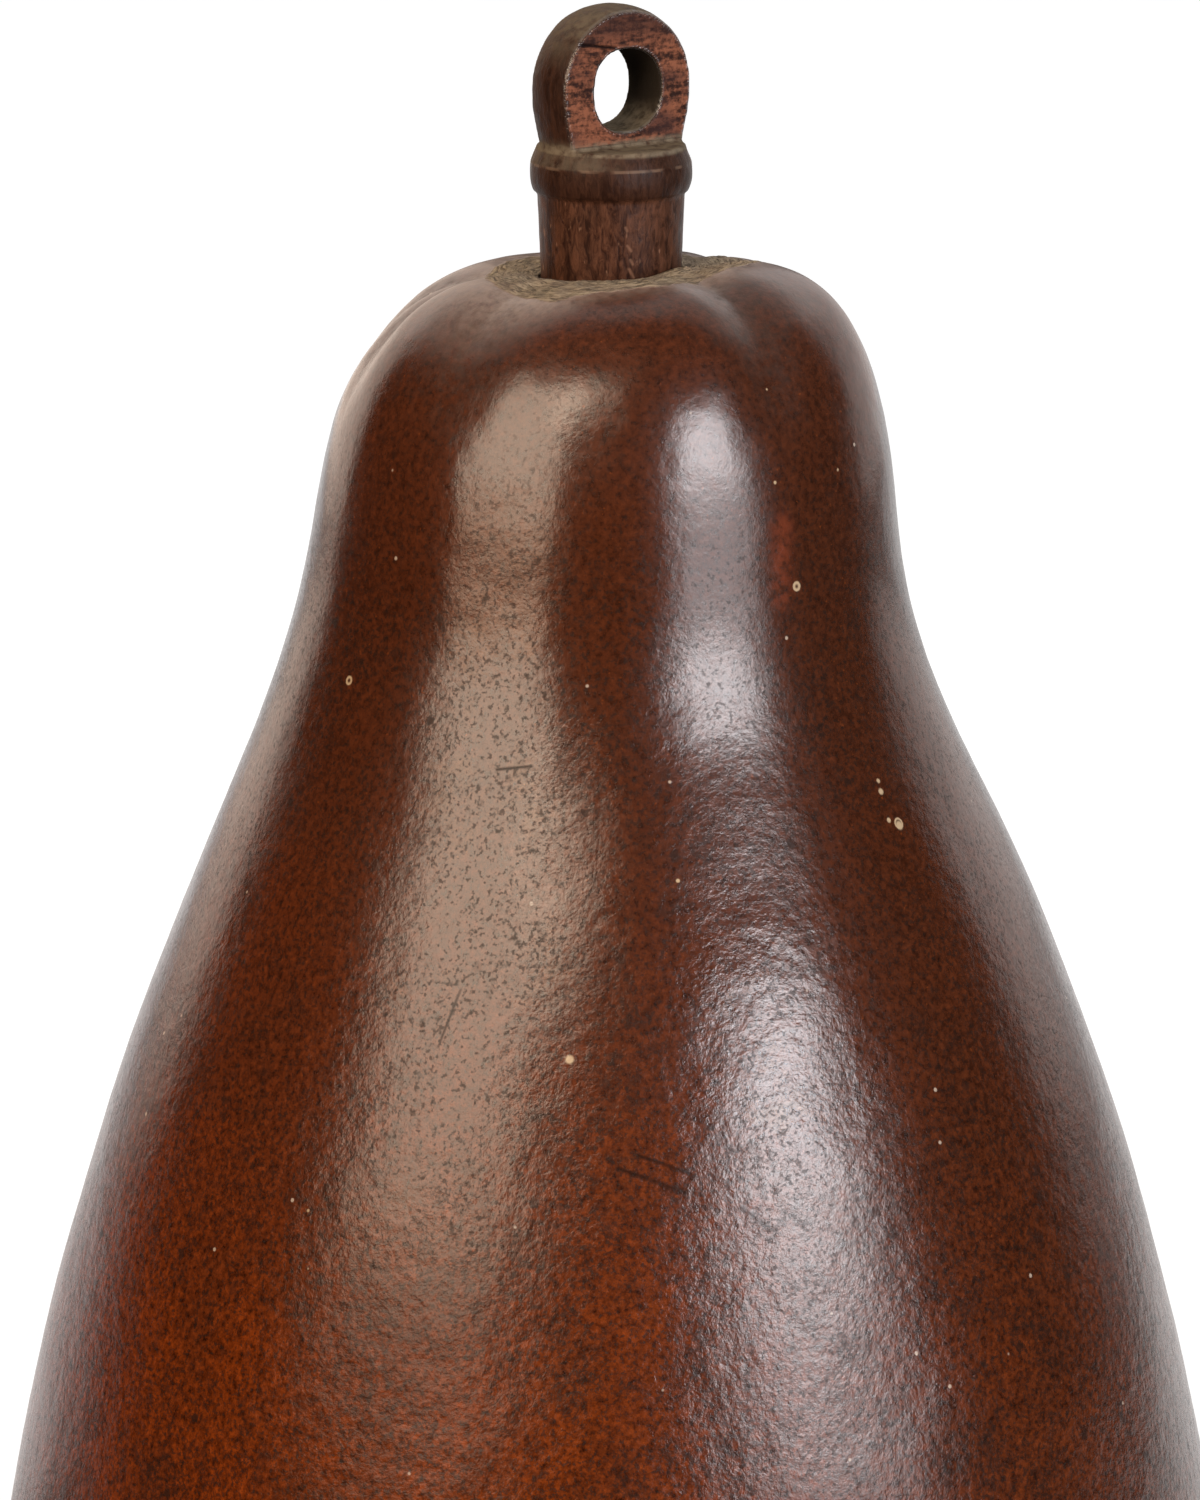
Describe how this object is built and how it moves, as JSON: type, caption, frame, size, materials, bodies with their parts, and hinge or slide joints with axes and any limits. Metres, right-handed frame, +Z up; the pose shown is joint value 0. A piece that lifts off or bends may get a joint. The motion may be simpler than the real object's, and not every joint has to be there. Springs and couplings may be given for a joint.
{
  "type": "dried bottle gourd flask",
  "caption": "Dried pear-shaped bottle gourd with a lobed stem end, hollowed as a flask, closed by a tapered wooden stopper with a cord eye.",
  "frame": {"origin": "centre of the small flat spot on the underside that the gourd stands on", "axes": "+Z up through the mouth and the stopper, Y along the stopper's eye hole, X across its flat head"},
  "size_m": [0.1492, 0.1508, 0.274],
  "materials": {
    "gourd_skin": "polished dried rind, satin gloss with fine dark flecks, dry and fibrous round the mouth",
    "stopper_wood": "hand-carved brown hardwood, worn satin, dust in the grain"
  },
  "bodies": {
    "root": {"gourd": "gourd_skin", "stopper": "stopper_wood"}
  },
  "joints": []
}
